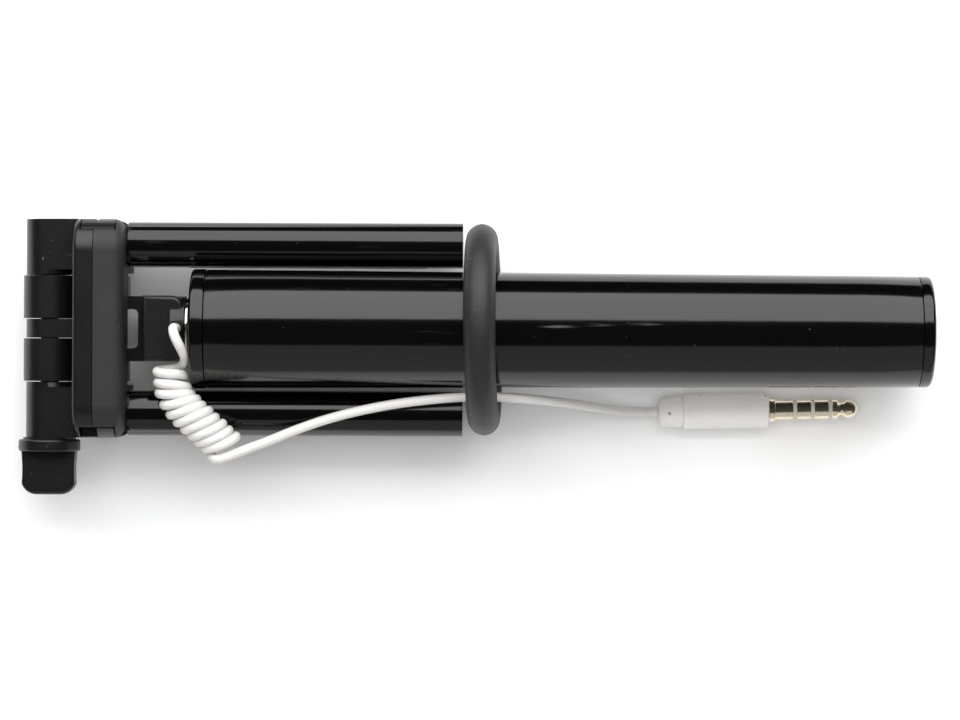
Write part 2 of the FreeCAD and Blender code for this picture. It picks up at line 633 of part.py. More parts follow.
for half, bar_z in (("upper", bar_upper_z), ("lower", bar_lower_z)):
    arm_slab = block(half + "_slab", ("-plate_front + arm_gap", "-arm_tip"),
                     mirrored(("arm_inner", "arm_inner + arm_w"), half),
                     ("arm_top - arm_h", "arm_top"))
    arm_round = rounded(half + "_round", arm_slab, 0.49 * val("arm_w"), along_x)
    block_span = mirrored(("arm_inner + block_inset", "arm_inner + block_inset + block_w"), half)
    neck_piece = block(half + "_neck", (block_front + " - 0.5", "-plate_front + arm_gap + 0.5"),
                       block_span, ("-block_low", "0"))
    end_span = mirrored(("arm_inner + block_inset", "plate_half_w + 1"), half)
    bar_span = mirrored(("-bar_reach", "plate_half_w + 1"), half)
    slider = fuse(half + "_slider",
                  block(half + "_block", (block_back, block_front), end_span,
                        ("-block_low", "block_top")),
                  block(half + "_bridge", (bar_front + " - 0.5", block_back + " + 0.5"), end_span,
                        bar_z),
                  block(half + "_bar", (bar_back, bar_front), bar_span, bar_z))
    outline_slab = block(half + "_outline_slab", (bar_back + " - 1", block_front + " + 1"),
                         ("-plate_half_w", "plate_half_w"), ("-plate_low", "plate_top"))
    outline = rounded(half + "_outline", outline_slab, val("plate_corner"), along_x)
    flush_slider = common(half + "_flush_slider", slider, outline)
    pad_x = ("-arm_tip - 6 - pad_len", "-arm_tip - 6")
    pad_z = ("arm_top - arm_h/2 - pad_h/2", "arm_top - arm_h/2 + pad_h/2")
    pad_pocket = block(half + "_pocket", pad_x, mirrored(("arm_inner - 1", "arm_inner + pad_t"), half),
                       pad_z)
    arm_solid = fuse(half + "_solid", arm_round, neck_piece, flush_slider)
    sub_part(half + "_arm", cut(half + "_arm", arm_solid, pad_pocket))
    sub_part(half + "_pad", block(half + "_pad", pad_x,
                                  mirrored(("arm_inner", "arm_inner + pad_t"), half), pad_z))
    coil_span = mirrored(("-(notch_half_w - 0.5) + spring_r", "arm_inner + block_inset - 0.1"), half)
    coil_x = block_back + " + block_t/2"
    outer = rod(half + "_coil_outer", "y", "spring_r", "(%s) - (%s)" % (coil_span[1], coil_span[0]),
                coil_x, coil_span[0], spring_z[half])
    inner = rod(half + "_coil_inner", "y", "spring_r - spring_wire", "3*plate_half_w", coil_x,
                "-1.5*plate_half_w", spring_z[half])
    sub_part(half + "_spring", cut(half + "_spring", outer, inner))


# ---- Loose rubber ring; the handle lies in it and it stands on the surface ----

rubber_ring = doc.addObject("Part::Torus", "rubber_ring")
lean = FreeCAD.Rotation(V(0, 0, 1), val("ring_turn")) * FreeCAD.Rotation(V(0, 1, 0), -val("ring_lean"))
rubber_ring.Placement = FreeCAD.Placement(V(), lean * TURN["x"])
rubber_ring.setExpression("Radius1", cells("ring_mid_r"))
rubber_ring.setExpression("Radius2", cells("ring_section/2"))
at(rubber_ring, "-ring_x", "0", "-plate_low + ring_mid_r + ring_section/2")
sub_part("rubber_ring", rubber_ring)


# ---- Plug: strain relief, moulded body, metal shoulder and four contacts on one axis ----

def on_plug(item, start):
    spin = FreeCAD.Rotation(V(0, 0, 1), val("plug_yaw"))
    item.Placement = FreeCAD.Placement(V(), spin * TURN["x"])
    return at(item, "plug_start_x + (%s)*cos(plug_yaw*1deg)" % start,
              "plug_start_y + (%s)*sin(plug_yaw*1deg)" % start,
              "-plate_low + plug_body_r + 0.02")


def plug_rod(name, radius, start, length):
    return on_plug(rod(name, "x", radius, length), start)


def plug_cone(name, radius_start, radius_end, start, length):
    return on_plug(taper(name, radius_start, radius_end, length, "0"), start)


body_start = "plug_collar_len"
body_end = body_start + " + plug_body_len"
shoulder_end = body_end + " + plug_flange_len"
plug_collar = sub_part("plug_collar", plug_cone("plug_collar", "plug_collar_r - 0.25",
                                                "plug_collar_r", "0", "plug_collar_len"))
plug_body_rod = plug_rod("plug_body_rod", "plug_body_r", body_start, "plug_body_len")
plug_body = sub_part("plug_body", rounded("plug_body", plug_body_rod, val("plug_edge"),
                                          lambda edge: edge.Length > 15))

CONTACTS = (("sleeve", 3.1), ("ring_one", 2.4), ("ring_two", 2.4))
INSULATOR = 0.6
contact_parts = [plug_rod("shoulder", "plug_flange_r", body_end, "plug_flange_len")]
insulator_parts = []
along = 0.0
for contact, length in CONTACTS:
    contact_parts.append(plug_rod("contact_" + contact, "jack_r",
                                  "%s + %.2f" % (shoulder_end, along), "%.2f" % length))
    along = along + length
    insulator_parts.append(plug_rod("insulator_" + contact, "jack_r",
                                    "%s + %.2f" % (shoulder_end, along), "%.2f" % INSULATOR))
    along = along + INSULATOR
tip_start = "%s + %.2f" % (shoulder_end, along)
tip_len = "(jack_len - %.2f)" % along
contact_parts.append(plug_cone("tip_neck", "jack_r", "0.65*jack_r", tip_start, tip_len + "*0.35"))
contact_parts.append(plug_cone("tip_swell", "0.65*jack_r", "0.94*jack_r",
                               tip_start + " + " + tip_len + "*0.35", tip_len + "*0.2"))
contact_parts.append(plug_cone("tip_point", "0.94*jack_r", "0.4*jack_r",
                               tip_start + " + " + tip_len + "*0.55", tip_len + "*0.45"))
plug_contacts = sub_part("plug_contacts", fuse("plug_contacts", *contact_parts))
plug_insulators = sub_part("plug_insulators", fuse("plug_insulators", *insulator_parts))


# ---- Cord: lead from the grommet, the wound coil as one fat tube, and the tail to the plug ----

def tube(label, points, radius):
    """Solid along straight runs joined by tangent arcs."""
    edges = []
    radii = []
    last = points[0]
    for number in range(1, len(points) - 1):
        corner = points[number]
        into = corner - points[number - 1]
        out = points[number + 1] - corner
        shorter = min(into.Length, out.Length)
        into.normalize()
        out.normalize()
        half_turn = into.getAngle(out) / 2
        reach = 0.45 * shorter
        bend = reach / math.tan(half_turn)
        inward = out - into
        inward.normalize()
        middle = corner + inward * (bend / math.cos(half_turn) - bend)
        start = corner - into * reach
        end = corner + out * reach
        edges.append(Part.LineSegment(last, start).toShape())
        edges.append(Part.Arc(start, middle, end).toShape())
        radii.append(bend)
        last = end
    edges.append(Part.LineSegment(last, points[-1]).toShape())
    path = Part.Wire(edges)
    heading = points[1] - points[0]
    section = Part.Wire([Part.Circle(points[0], heading, radius).toShape()])
    solid = path.makePipeShell([section], True, False)
    item = doc.addObject("Part::Feature", label)
    item.Shape = solid
    wanted = math.pi * radius * radius * path.Length
    print("%s: length %.1f, radii %s, volume %.4f of section times length"
          % (label, path.Length, ", ".join("%.1f" % bend for bend in radii), solid.Volume / wanted))
    return sub_part(label, item)


# The coil leaves the fork's side and lies across the lower arm, where it droops past the edge.
COIL_AXIS = [V(-127.3, -5.9, 3.9), V(-126.9, -8.9, 3.95), V(-125.9, -11.7, 3.95),
             V(-123.8, -14.3, 3.9), V(-121.0, -16.8, 3.6), V(-118.4, -19.2, 2.4)]
LEAD = [V(-125.15, 0, 6.4), V(-125.15, 0, 8.0), V(-127.0, -0.6, 9.2), V(-126.9, -2.6, 8.0),
        V(-125.792, -3.854, 5.635), V(-125.5545, -5.6382, 5.6648)]
TAIL = [V(-120.0955, -21.0373, 2.4), V(-118.843, -22.193, 1.822), V(-115.6, -22.0, 1.2),
        V(-111.6, -19.6, 1.0), V(-105.6, -16.4, 1.35), V(-98.5, -14.2, 1.65),
        V(-90.3, -12.5, 1.5), V(-82.5, -11.5, 1.1), V(-74.8, -11.0, 0.7), V(-67.5, -11.4, -0.9),
        V(-61.5, -12.0, -5.0), V(-55.5, -12.9, -9.6), V(-49.9, -13.818, -11.93),
        V(-44.7, -13.7, -11.93)]
cord_coil = tube("cord_coil", COIL_AXIS, val("coil_r"))
cord_lead = tube("cord_lead", LEAD, val("cord_r"))
cord_tail = tube("cord_tail", TAIL, val("cord_r"))


# ---- Check every object, then write each sub-part ----

doc.recompute()
for item in doc.Objects:
    if "Invalid" in item.State or "Error" in item.State:
        raise RuntimeError("%s failed: %s" % (item.Name, item.State))
for item in nodes:
    if item.Shape.isNull() or not item.Shape.isValid():
        raise RuntimeError("%s has no valid shape" % item.Label)
os.makedirs("parts", exist_ok=True)
for item in nodes:
    item.Shape.exportStep("parts/%s.step" % item.Label)
print("%d sub-parts written" % len(nodes))
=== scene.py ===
import math
import bpy
import bmesh
from mathutils import Matrix, Vector


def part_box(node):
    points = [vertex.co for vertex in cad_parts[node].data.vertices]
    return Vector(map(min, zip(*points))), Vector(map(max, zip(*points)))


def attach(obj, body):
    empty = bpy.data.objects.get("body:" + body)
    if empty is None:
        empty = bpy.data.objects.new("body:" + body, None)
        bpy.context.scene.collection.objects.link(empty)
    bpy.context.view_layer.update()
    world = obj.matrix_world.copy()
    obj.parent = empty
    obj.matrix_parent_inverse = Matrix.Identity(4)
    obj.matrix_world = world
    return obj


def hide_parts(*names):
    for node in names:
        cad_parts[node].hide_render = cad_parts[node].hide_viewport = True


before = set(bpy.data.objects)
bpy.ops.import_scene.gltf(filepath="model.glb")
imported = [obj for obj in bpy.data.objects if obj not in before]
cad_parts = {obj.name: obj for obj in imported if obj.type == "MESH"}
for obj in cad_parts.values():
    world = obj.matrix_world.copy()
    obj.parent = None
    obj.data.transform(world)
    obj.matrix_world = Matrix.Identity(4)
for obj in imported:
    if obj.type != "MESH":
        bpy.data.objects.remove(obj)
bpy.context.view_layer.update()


# ---- Camera: straight above the folded stick, which lies on a white table ----

lens = bpy.data.cameras.new("camera")
lens.lens = 135
lens.sensor_width = 36
lens.clip_start = 0.01
camera = bpy.data.objects.new("camera", lens)
camera.location = (-0.075, -0.0050, 0.600)
camera.rotation_euler = (0, 0, math.radians(0.25))
bpy.context.collection.objects.link(camera)
bpy.context.scene.camera = camera


# ---- Cord: 1.6 mm white PVC lead, wound in a tight spring of turns beside the head ----
# It rises from the grommet, loops into the coil that lies over the lower arm, and its tail
# runs inside the rubber ring and down to the plug on the table.

MM = 0.001
CORD_R = 0.8
COIL_R = 2.5
COIL_TURNS = 11
TURN_POINTS = 16
FIRST_TURN = 0.88
TURN_LEAN = 0.33
COIL_AXIS = [(-126.3, -5.9, 3.9), (-126.2, -8.8, 3.95), (-125.3, -11.5, 3.95),
             (-123.3, -13.9, 3.9), (-120.4, -16.5, 3.6), (-117.2, -19.6, 2.4)]
LEAD = [(-125.15, 0, 6.4), (-125.15, 0, 7.4), (-125.5, 0.1, 8.9), (-125.2, -1.2, 9.6),
        (-124.4, -2.8, 9.2), (-123.7, -4.4, 7.4), (-123.7, -5.2, 5.6)]
TAIL = [(-119.3, -21.4, 3.6), (-118.3, -21.7, 4.5), (-116.6, -21.1, 4.2), (-113.8, -20.0, 2.8),
        (-110.0, -18.6, 1.7), (-105.3, -16.6, 1.35), (-98.5, -14.3, 1.65),
        (-90.3, -12.5, 1.5), (-82.5, -11.5, 1.1), (-74.8, -11.0, 0.7), (-67.5, -11.4, -0.9),
        (-61.5, -12.0, -5.0), (-55.5, -12.9, -9.6), (-49.9, -13.818, -11.93),
        (-44.7, -13.7, -11.93)]


def spline_curve(name, points, steps):
    """Curve object of one open NURBS spline that its points steer."""
    curve = bpy.data.curves.new(name, "CURVE")
    curve.dimensions = "3D"
    curve.resolution_u = steps
    line = curve.splines.new("NURBS")
    line.points.add(len(points) - 1)
    for point, (x, y, z) in zip(line.points, points):
        point.co = (x * MM, y * MM, z * MM, 1.0)
    line.order_u = 3
    line.use_endpoint_u = True
    made = bpy.data.objects.new(name, curve)
    bpy.context.collection.objects.link(made)
    return made


def line_points(points, steps=12):
    """Points along the smooth line of a route, in millimetres."""
    guide = spline_curve("guide", points, steps)
    view = bpy.context.evaluated_depsgraph_get()
    mesh = bpy.data.meshes.new_from_object(guide.evaluated_get(view))
    line = [vertex.co / MM for vertex in mesh.vertices]
    bpy.data.objects.remove(guide)
    return line


def coil_points():
    """Turns about the coil's axis; past the first one they lean over."""
    axis = line_points(COIL_AXIS)
    lengths = [0.0]
    for first, second in zip(axis, axis[1:]):
        lengths.append(lengths[-1] + (second - first).length)
    start_angle = math.radians(80)
    end_angle = 2 * math.pi * COIL_TURNS - math.radians(90)
    count = int((end_angle - start_angle) / (2 * math.pi) * TURN_POINTS)
    points = []
    for number in range(count + 1):
        share = number / count
        angle = start_angle + (end_angle - start_angle) * share
        # The first turns hang a little apart.
        distance = lengths[-1] * (0.95 * share + 0.05 * (1 - math.exp(-share / 0.12)))
        step = 0
        while step < len(axis) - 2 and lengths[step + 1] < distance:
            step = step + 1
        part = (distance - lengths[step]) / (lengths[step + 1] - lengths[step])
        centre = axis[step].lerp(axis[step + 1], part)
        ahead = (axis[step + 1] - axis[step]).normalized()
        side = Vector((0, 0, 1)).cross(ahead).normalized()
        up = ahead.cross(side)
        lean = TURN_LEAN * min(1.0, max(0.0, (share - 0.08) * 6))
        fullness = FIRST_TURN + (1 - FIRST_TURN) * min(1.0, share * 2.5)
        radius = COIL_R * fullness * (1 + 0.02 * math.sin(3.1 * angle / 6))
        point = centre + radius * (math.cos(angle) * up + math.sin(angle) * (side + lean * ahead))
        points.append(tuple(point))
    return points


class Value:
    """A shader socket that takes part in sums."""

    def __init__(self, finish, socket):
        self.finish = finish
        self.socket = socket

    def math(self, operation, first, second):
        return self.finish.node("ShaderNodeMath", {"operation": operation}, {0: first, 1: second})

    def __add__(self, other):
        return self.math("ADD", self, other)

    __radd__ = __add__

    def __mul__(self, other):
        return self.math("MULTIPLY", self, other)

    __rmul__ = __mul__

    def __sub__(self, other):
        return self.math("SUBTRACT", self, other)

    def __rsub__(self, other):
        return self.math("SUBTRACT", other, self)


class Finish:
    """One material: a Principled surface and the nodes that vary it."""

    def __init__(self, name):
        self.material = bpy.data.materials.new(name)
        self.material.use_nodes = True
        self.tree = self.material.node_tree
        self.surface = self.tree.nodes["Principled BSDF"]
        self.place = self.node("ShaderNodeTexCoord", {}, {}, "Object")

    def node(self, kind, settings, sockets, output=0):
        made = self.tree.nodes.new(kind)
        for name, value in settings.items():
            setattr(made, name, value)
        for key, value in sockets.items():
            self.feed(made.inputs[key], value)
        return Value(self, made.outputs[output])

    def feed(self, socket, value):
        if isinstance(value, Value):
            self.tree.links.new(value.socket, socket)
        else:
            socket.default_value = value

    def set(self, **sockets):
        for name, value in sockets.items():
            self.feed(self.surface.inputs[name.replace("_", " ")], value)

    def noise(self, scale, detail=2.0, rough=0.5, stretch=(1, 1, 1)):
        point = self.node("ShaderNodeMapping", {}, {"Vector": self.place, "Scale": stretch})
        return self.node("ShaderNodeTexNoise", {},
                         {"Vector": point, "Scale": scale, "Detail": detail, "Roughness": rough})

    def step(self, value, low, high):
        """0 below low, 1 above high."""
        return self.node("ShaderNodeMapRange", {"interpolation_type": "SMOOTHSTEP"},
                         {"Value": value, "From Min": low, "From Max": high})

    def mix(self, factor, first, second):
        """From the first colour to the second. A mix node's colour sockets are told by number."""
        return self.node("ShaderNodeMix", {"data_type": "RGBA"},
                         {"Factor": factor, 6: first, 7: second}, output=2)

    def bump(self, height, distance, strength=1.0):
        return self.node("ShaderNodeBump", {},
                         {"Height": height, "Distance": distance, "Strength": strength})


cord = spline_curve("cord", LEAD + coil_points() + TAIL, 6)
cord.data.bevel_depth = CORD_R * MM
cord.data.bevel_resolution = 6
cord.data.use_fill_caps = True

pvc = Finish("white_pvc")
grime = pvc.step(pvc.noise(420, 3), 0.5, 0.8)
pvc.set(Base_Color=pvc.mix(grime * 0.5, (0.74, 0.725, 0.715, 1), (0.62, 0.60, 0.59, 1)),
        Roughness=0.34 + pvc.noise(300) * 0.12, Normal=pvc.bump(pvc.noise(900, 2), 0.00003))
pvc.surface.inputs["Subsurface Weight"].default_value = 0.15
pvc.surface.inputs["Subsurface Radius"].default_value = (0.001, 0.001, 0.001)
cord.data.materials.append(pvc.material)
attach(cord, "head")
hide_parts("cord_lead", "cord_coil", "cord_tail")


# ---- Plug: white moulded body and strain relief, and a gold four-pole jack on one axis ----
# The contacts are turned brass, thinly plated, with pale rings of insulation between them.

PLUG_START = Vector(TAIL[-1]) * MM
plug_place = Matrix.Translation(PLUG_START) @ Matrix.Rotation(math.radians(1.3), 4, "Z")
JACK_R = 1.75
COLLAR_END = 4.1
BODY_END = 18.7
SHOULDER_END = 19.8


def rounded_rod(start, end, first_r, last_r, ease):
    """Outline of a rod whose two rims are rounded."""
    outline = [(start, 0.0)]
    for number in range(7):
        turn = math.pi / 2 * number / 6
        outline.append((start + ease * (1 - math.cos(turn)), first_r - ease * (1 - math.sin(turn))))
    for number in range(7):
        turn = math.pi / 2 * number / 6
        outline.append((end - ease * (1 - math.sin(turn)), last_r - ease * (1 - math.cos(turn))))
    outline.append((end, 0.0))
    return outline


def piece_object(name, mesh, material, body):
    """Puts a finished mesh in the scene on its body."""
    piece = bpy.data.objects.new(name, mesh)
    bpy.context.collection.objects.link(piece)
    piece.data.materials.clear()
    piece.data.materials.append(material)
    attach(piece, body)
    return piece


def turned(name, outline, segments, place=Matrix()):
    """Closed lathe shape about X. The outline is (x, radius) in mm, axis to axis or a loop."""
    shape = bmesh.new()
    rings = []
    for x, radius in outline:
        if radius < 1e-6:
            rings.append([shape.verts.new(place @ Vector((x * MM, 0, 0)))])
            continue
        ring = []
        for number in range(segments):
            angle = 2 * math.pi * number / segments
            across = Vector((x * MM, radius * MM * math.cos(angle), radius * MM * math.sin(angle)))
            ring.append(shape.verts.new(place @ across))
        rings.append(ring)
    closed = outline[0][1] >= 1e-6
    pairs = list(zip(rings, rings[1:] + rings[:1] if closed else rings[1:]))
    for first, second in pairs:
        for number in range(segments):
            after = (number + 1) % segments
            if len(first) == 1:
                corners = (first[0], second[after], second[number])
            elif len(second) == 1:
                corners = (first[number], first[after], second[0])
            else:
                corners = (first[number], first[after], second[after], second[number])
            shape.faces.new(corners)
    bmesh.ops.recalc_face_normals(shape, faces=shape.faces)
    mesh = bpy.data.meshes.new(name)
    shape.to_mesh(mesh)
    shape.free()
    for face in mesh.polygons:
        face.use_smooth = True
    mesh.set_sharp_from_angle(angle=math.radians(35))
    return mesh


white_plug = Finish("white_moulding")
stain = white_plug.step(white_plug.noise(260, 3), 0.55, 0.8)
fleck = white_plug.step(white_plug.noise(620, 1, 0.3), 0.765, 0.785)
clean = white_plug.mix(stain * 0.4, (0.90, 0.88, 0.87, 1), (0.78, 0.76, 0.74, 1))
white_plug.set(Base_Color=white_plug.mix(fleck * 0.8, clean, (0.2, 0.18, 0.16, 1)),
               Roughness=0.30 + white_plug.noise(200) * 0.12,
               Normal=white_plug.bump(white_plug.noise(500, 2), 0.00004))
white_plug.surface.inputs["Subsurface Weight"].default_value = 0.1
white_plug.surface.inputs["Subsurface Radius"].default_value = (0.001, 0.001, 0.001)

# The strain relief is a soft-edged sleeve, a little slimmer where it meets the body.
relief = [(0.0, 0.0), (0.0, 1.6), (0.12, 2.0), (0.4, 2.32), (0.9, 2.5), (2.0, 2.58),
          (3.2, 2.62), (3.7, 2.62), (3.9, 2.55), (4.0, 2.45), (4.12, 2.42), (4.12, 0.0)]
plug_relief = piece_object("plug_relief", turned("plug_relief", relief, 96, plug_place),
                           white_plug.material, "head")
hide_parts("plug_collar")
shell = rounded_rod(COLLAR_END + 0.02, BODY_END, 3.05, 3.05, 0.45)
plug_shell = piece_object("plug_shell", turned("plug_shell", shell, 128, plug_place),
                          white_plug.material, "head")
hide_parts("plug_body")

gold = Finish("champagne_gold")
tarnish = gold.step(gold.noise(500, 3), 0.5, 0.8)
gold.set(Base_Color=gold.mix(tarnish * 0.5, (0.90, 0.80, 0.62, 1), (0.72, 0.58, 0.38, 1)),
         Metallic=1.0, Roughness=0.14 + gold.noise(900, 2, 0.5, (1, 30, 30)) * 0.14)

contact_lengths = (3.1, 2.4, 2.4)
insulator_len = 0.6
contact_shapes = [rounded_rod(BODY_END, SHOULDER_END, 2.1, 2.1, 0.12)]
insulator_shapes = []
reach = SHOULDER_END
for length in contact_lengths:
    contact_shapes.append(rounded_rod(reach, reach + length, JACK_R, JACK_R, 0.10))
    reach = reach + length
    insulator_shapes.append(rounded_rod(reach, reach + insulator_len, 1.66, 1.66, 0.03))
    reach = reach + insulator_len
tip_len = SHOULDER_END + 14.0 - reach
tip = [(reach, 0.0), (reach, JACK_R - 0.1), (reach + 0.1, JACK_R), (reach + 0.75, JACK_R),
       (reach + 0.9, JACK_R - 0.08), (reach + 1.35, 1.2), (reach + 1.6, 1.13), (reach + 1.85, 1.2),
       (reach + 2.3, 1.62), (reach + 2.45, 1.66), (reach + 2.6, 1.64)]
for number in range(1, 8):
    turn = math.pi / 2 * number / 7
    tip.append((reach + 2.6 + (tip_len - 2.6) * math.sin(turn),
                1.64 - 1.0 * (1 - math.cos(turn)) - 0.1 * number / 7))
tip.append((reach + tip_len, 0.0))
contact_shapes.append(tip)


def turned_group(name, outlines, material, node):
    """Several turned pieces on the plug's axis, in one object."""
    group = bmesh.new()
    for outline in outlines:
        mesh = turned(name, outline, 96, plug_place)
        group.from_mesh(mesh)
        bpy.data.meshes.remove(mesh)
    whole = bpy.data.meshes.new(name)
    group.to_mesh(whole)
    group.free()
    for face in whole.polygons:
        face.use_smooth = True
    whole.set_sharp_from_angle(angle=math.radians(35))
    made = piece_object(name, whole, material, "head")
    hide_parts(node)
    return made


jack = turned_group("jack_contacts", contact_shapes, gold.material, "plug_contacts")
resin = Finish("insulator_resin")
resin.set(Base_Color=resin.mix(resin.noise(800), (0.78, 0.75, 0.70, 1), (0.62, 0.58, 0.52, 1)),
          Roughness=0.4 + resin.noise(400) * 0.15)
jack_rings = turned_group("jack_insulators", insulator_shapes, resin.material,
                          "plug_insulators")


# ---- Handle: one tapered tube of piano-black ABS ----
# A collar is glued on its front and a cap on its rear. It is polished all over, with hairline
# scuffs along its length from being carried.

def black_moulding(name, shade, gloss, dust, wear):
    """Black injection moulding: polished skin, hairline scuffs along X, specks of dust."""
    finish = Finish(name)
    cloud = finish.noise(60, 3)
    hairs = finish.step(finish.noise(900, 2, 0.6, (0.05, 1.0, 1.0)), 0.66, 0.74)
    patches = finish.step(finish.noise(45, 2), 0.5, 0.68)
    scuff = hairs * patches * wear
    speck = finish.step(finish.noise(2200, 1, 0.4), 0.80, 0.825) * dust
    colour = finish.mix(scuff * 0.12 + speck * 0.5, shade, (0.33, 0.31, 0.29, 1))
    ripple = finish.noise(140, 2) * 0.6 + finish.noise(2600, 2) * 0.04
    finish.set(Base_Color=colour, Roughness=gloss + cloud * 0.06 + scuff * 0.25 + speck * 0.4,
               Normal=finish.bump(ripple, 0.00003 + 0.00005 * gloss))
    finish.surface.inputs["IOR"].default_value = 1.5
    return finish.material


gloss_black = black_moulding("piano_black_abs", (0.0012, 0.0011, 0.0012, 1), 0.09, 0.35, 1.2)
shell_low, shell_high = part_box("handle_shell")
front_x = shell_low.x / MM
rear_x = shell_high.x / MM
FRONT_R = 9.85
REAR_R = 9.25
BORE_R = 7.55
tube_outline = [(front_x, BORE_R), (front_x, FRONT_R - 0.12), (front_x + 0.04, FRONT_R - 0.04),
                (front_x + 0.12, FRONT_R)]
TUBE_STEPS = 12
for number in range(1, TUBE_STEPS):
    share = number / TUBE_STEPS
    tube_outline.append((front_x + (rear_x - front_x) * share, FRONT_R + (REAR_R - FRONT_R) * share))
tube_outline += [(rear_x - 0.12, REAR_R), (rear_x - 0.04, REAR_R - 0.04), (rear_x, REAR_R - 0.12),
                 (rear_x, BORE_R)]

BUTTON_HOLE_R = 3.35
HOLE_TOP = -4.0
HOLE_LEN = 20.0
button_low, button_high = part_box("shutter_button")
button_x = (button_low.x + button_high.x) / 2


def drilled(mesh, centre_x):
    """Cuts the shutter button's hole in the underside of the tube."""
    body = bpy.data.objects.new("drilled", mesh)
    bpy.context.collection.objects.link(body)
    shape = bmesh.new()
    bmesh.ops.create_cone(shape, cap_ends=True, segments=64, radius1=BUTTON_HOLE_R * MM,
                          radius2=BUTTON_HOLE_R * MM, depth=HOLE_LEN * MM)
    bmesh.ops.translate(shape, verts=shape.verts, vec=(centre_x, 0, (HOLE_TOP - HOLE_LEN / 2) * MM))
    drill_mesh = bpy.data.meshes.new("drill")
    shape.to_mesh(drill_mesh)
    shape.free()
    drill = bpy.data.objects.new("drill", drill_mesh)
    bpy.context.collection.objects.link(drill)
    bore = body.modifiers.new("bore", "BOOLEAN")
    bore.operation = "DIFFERENCE"
    bore.object = drill
    view = bpy.context.evaluated_depsgraph_get()
    done = bpy.data.meshes.new_from_object(body.evaluated_get(view))
    bpy.data.objects.remove(body)
    bpy.data.objects.remove(drill)
    done.set_sharp_from_angle(angle=math.radians(35))
    return done


tube = piece_object("handle_tube",
                    drilled(turned("handle_tube", tube_outline, 256), button_x),
                    gloss_black, "handle")
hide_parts("handle_shell")

COLLAR_FRONT = -123.0
COLLAR_REAR = -120.6
collar_outline = [(COLLAR_FRONT, 7.15), (COLLAR_FRONT, 9.35)]
for number in range(1, 9):
    turn = math.pi / 2 * number / 8
    collar_outline.append((COLLAR_FRONT + 0.6 * (1 - math.cos(turn)), 9.35 + 0.6 * math.sin(turn)))
collar_outline += [(COLLAR_REAR - 0.12, 9.95), (COLLAR_REAR - 0.04, 9.91), (COLLAR_REAR, 9.8),
                   (COLLAR_REAR, 7.55), (COLLAR_REAR - 1.6, 7.55), (COLLAR_REAR - 1.6, 7.15)]
collar = piece_object("handle_collar", turned("handle_collar", collar_outline, 256), gloss_black,
                      "handle")
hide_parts("front_collar")

cap_outline = [(-9.0, 0.0), (-9.0, 7.5), (-2.05, 7.5), (-2.05, 9.05), (-1.98, 9.2), (-1.88, 9.25)]
for number in range(9):
    turn = math.pi / 2 * number / 8
    cap_outline.append((-0.75 + 0.75 * math.sin(turn), 8.5 + 0.75 * math.cos(turn)))
cap_outline += [(-0.02, 6.0), (-0.06, 0.0)]
cap = piece_object("handle_cap", turned("handle_cap", cap_outline, 256), gloss_black, "handle")
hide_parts("end_cap")


# ---- Shutter button and switch: a satin nylon button in the underside of the handle ----
# It presses a tact switch on a small green board, which two steel screws hold on the end cap's
# carrier.

def grained_moulding(name, shade, gloss, grain, depth, dust):
    """Black nylon, soft-touch cover or rubber: a fine even grain, rubbed patches and dust."""
    finish = Finish(name)
    texture = finish.noise(grain, 3, 0.6)
    cloud = finish.noise(90, 2)
    speck = finish.step(finish.noise(2000, 1, 0.4), 0.785, 0.81) * dust
    rub = finish.step(finish.noise(160, 3), 0.52, 0.75)
    pale = (shade[0] * 1.25, shade[1] * 1.25, shade[2] * 1.25, 1)
    colour = finish.mix(speck, finish.mix(rub, shade, pale), (0.4, 0.38, 0.36, 1))
    finish.set(Base_Color=colour, Roughness=gloss + cloud * 0.1 - rub * 0.06 + speck * 0.2,
               Normal=finish.bump(texture, depth))
    return finish.material


def refined(node, body, material, edge=0.0, sharp=32):
    """A CAD node's own shape with its facets smoothed and its hard edges eased."""
    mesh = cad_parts[node].data.copy()
    shape = bmesh.new()
    shape.from_mesh(mesh)
    bmesh.ops.remove_doubles(shape, verts=shape.verts, dist=2e-7)
    if edge > 0:
        bmesh.ops.dissolve_limit(shape, angle_limit=math.radians(0.4), verts=shape.verts,
                                 edges=shape.edges, delimit={"NORMAL"})
    shape.to_mesh(mesh)
    shape.free()
    piece = bpy.data.objects.new(node + "_skin", mesh)
    bpy.context.collection.objects.link(piece)
    for face in mesh.polygons:
        face.use_smooth = True
    if edge > 0:
        ease = piece.modifiers.new("ease", "BEVEL")
        ease.width = edge * MM
        ease.segments = 2
        ease.limit_method = "ANGLE"
        ease.angle_limit = math.radians(40)
        ease.use_clamp_overlap = True
    view = bpy.context.evaluated_depsgraph_get()
    done = bpy.data.meshes.new_from_object(piece.evaluated_get(view))
    bpy.data.objects.remove(piece)
    done.set_sharp_from_angle(angle=math.radians(sharp))
    skin = piece_object(node + "_skin", done, material, body)
    weight = skin.modifiers.new("flat_faces_first", "WEIGHTED_NORMAL")
    weight.keep_sharp = True
    weight.weight = 80
    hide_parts(node)
    return skin


satin_black = grained_moulding("satin_black_nylon", (0.004, 0.0039, 0.0042, 1), 0.30, 1400, 0.00002, 0.3)
refined("shutter_button", "shutter_button", satin_black)

board_finish = Finish("green_board")
tracks = board_finish.step(board_finish.noise(420, 1, 0.3, (1, 3, 1)), 0.49, 0.52)
board_finish.set(Base_Color=board_finish.mix(tracks, (0.01, 0.10, 0.03, 1), (0.02, 0.16, 0.05, 1)),
                 Roughness=0.35 + tracks * 0.1)
refined("switch_board", "handle", board_finish.material)


